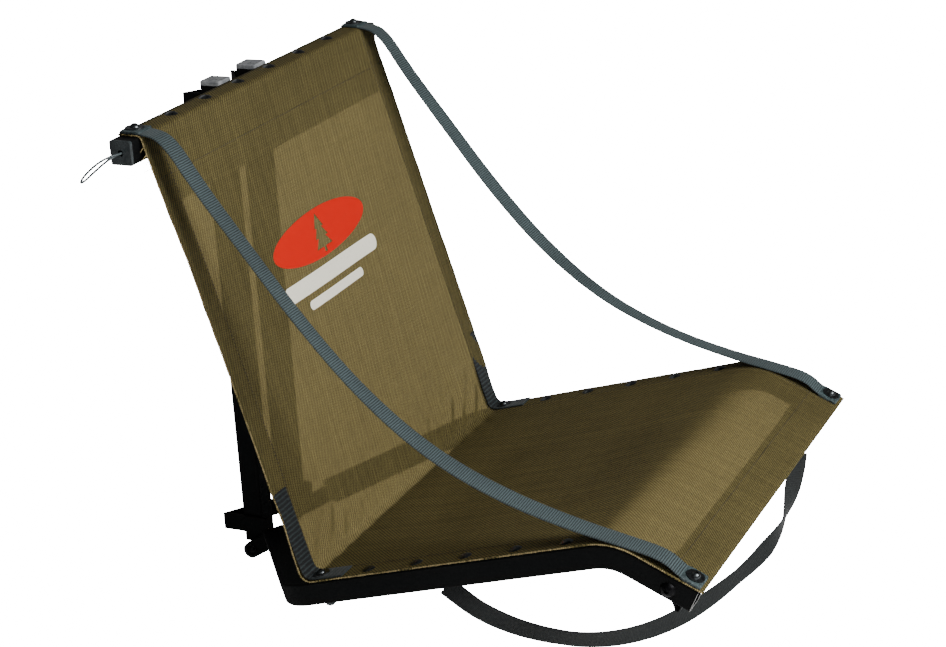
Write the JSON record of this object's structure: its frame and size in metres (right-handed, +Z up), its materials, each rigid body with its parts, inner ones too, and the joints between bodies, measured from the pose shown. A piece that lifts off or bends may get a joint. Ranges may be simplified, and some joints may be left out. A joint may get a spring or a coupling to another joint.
{
  "type": "folding tree seat",
  "caption": "Folding sling seat with a tall mesh back on a black square tube frame, webbing arm straps and notched brackets that bear on a tree.",
  "frame": {"origin": "between the two points of the upper tree bracket, level with its middle, where the trunk's face passes", "axes": "+X to the sitter's left, +Y into the tree, +Z up along the posts; the sitter faces -Y"},
  "size_m": [0.5732, 0.6514, 0.6115],
  "materials": {
    "frame_black": "satin black powder coat on square aluminium tube",
    "end_cap_black": "glossy black moulded plastic",
    "post_cap_grey": "silver grey plastic cap",
    "hardware_dark": "dark gunmetal steel",
    "sling_mesh": "woven olive mesh cloth",
    "webbing_slate": "ribbed slate grey webbing",
    "webbing_dark": "ribbed dark slate webbing",
    "webbing_black": "thin black webbing",
    "cable_coated": "dark plastic coating on wire cable",
    "ferrule": "crimped",
    "bush_nylon": "black nylon"
  },
  "bodies": {
    "back_frame": {"top_bar": "frame_black", "top_bar_end_caps": "end_cap_black", "post_left": "frame_black", "post_right": "frame_black", "post_caps": "post_cap_grey", "post_feet": "end_cap_black", "upper_tree_bracket": "frame_black", "lower_tree_bracket": "frame_black", "pivot_spacers": "frame_black", "pivot_bolts": "hardware_dark", "pivot_nuts": "hardware_dark", "sling_back": "sling_mesh", "sling_crook": "sling_mesh", "top_bar_rivets": "hardware_dark", "top_strap_washers": "hardware_dark", "top_strap_screws": "hardware_dark", "top_strap_nuts": "hardware_dark", "arm_strap_left": "webbing_slate", "arm_strap_right": "webbing_slate", "cable_loop": "cable_coated", "cable_ferrule": "ferrule"},
    "seat_frame": {"hinge_lugs": "frame_black", "pivot_bushes": "bush_nylon", "rail_left": "frame_black", "rail_right": "frame_black", "front_crossbar": "frame_black", "front_crossbar_plugs": "end_cap_black", "front_crossbar_screws": "hardware_dark", "gear_loops": "webbing_black", "carry_strap_loop": "webbing_black", "sling_seat": "sling_mesh", "rail_rivets_left": "hardware_dark", "rail_rivets_right": "hardware_dark", "corner_washers": "hardware_dark", "corner_screws": "hardware_dark", "corner_nuts": "hardware_dark", "front_strap_washers": "hardware_dark", "front_strap_screws": "hardware_dark", "front_strap_nuts": "hardware_dark", "corner_patch_left": "webbing_dark", "corner_patch_right": "webbing_dark", "carry_strap_tab": "webbing_black", "carry_strap_screw": "hardware_dark", "carry_strap": "webbing_black"}
  },
  "joints": [
    {"name": "seat_fold", "type": "hinge", "parent": "back_frame", "child": "seat_frame", "pos_m": [0, -0.03479, -0.529], "axis": [-1, 0, 0], "range_deg": [0, 50], "deforming": ["arm_strap_left", "arm_strap_right", "sling_crook", "corner_patch_left", "corner_patch_right"]}
  ]
}
